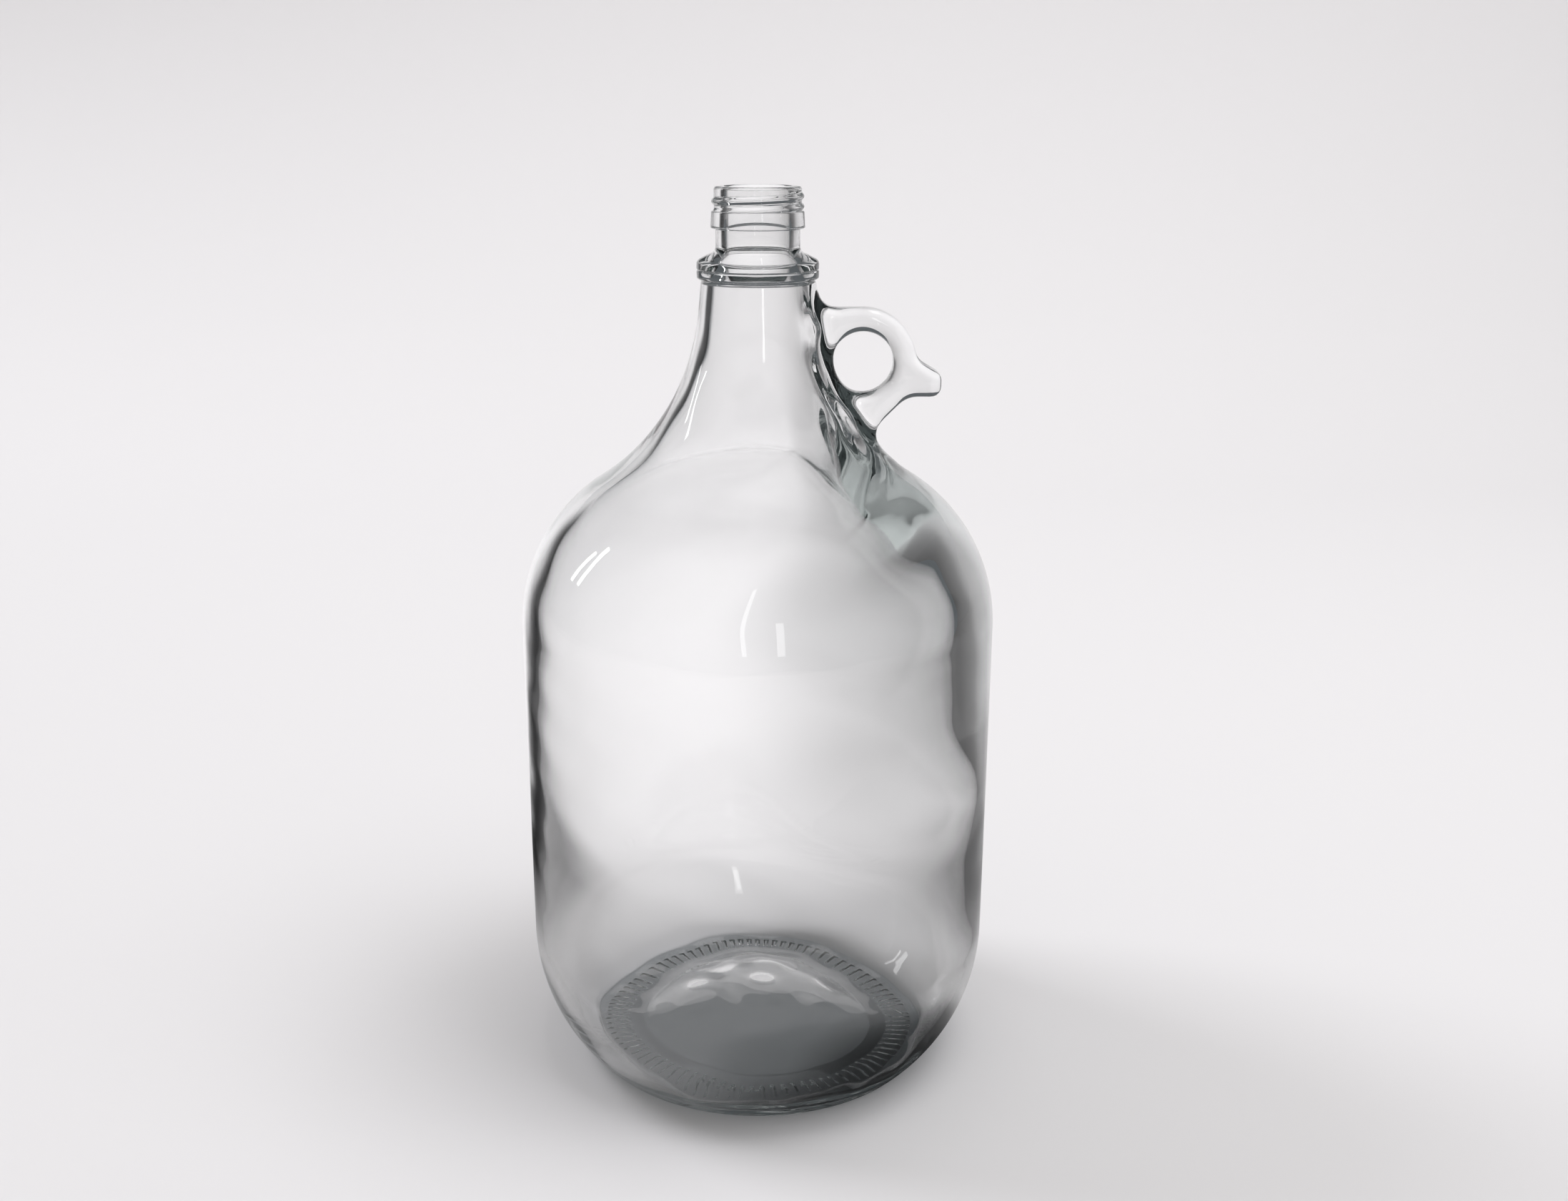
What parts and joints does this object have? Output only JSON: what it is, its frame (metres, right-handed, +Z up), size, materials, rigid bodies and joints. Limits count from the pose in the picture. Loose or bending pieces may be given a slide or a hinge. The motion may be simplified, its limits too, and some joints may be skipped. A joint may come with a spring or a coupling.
{
  "type": "handled glass jug",
  "caption": "Round-shouldered clear glass jug with a narrow screw-thread neck, a finger ring with a thumb horn at the neck, and a knurled pushed-up base.",
  "frame": {"origin": "on the jug's axis, in the plane it stands on", "axes": "+Z up along the jug's axis, +X towards the finger ring"},
  "size_m": [0.1654, 0.1654, 0.31],
  "materials": {
    "clear_glass": "clear moulded glass, fire polished, very slightly grey-green through its edges"
  },
  "bodies": {
    "root": {"glass_jug": "clear_glass"}
  },
  "joints": []
}
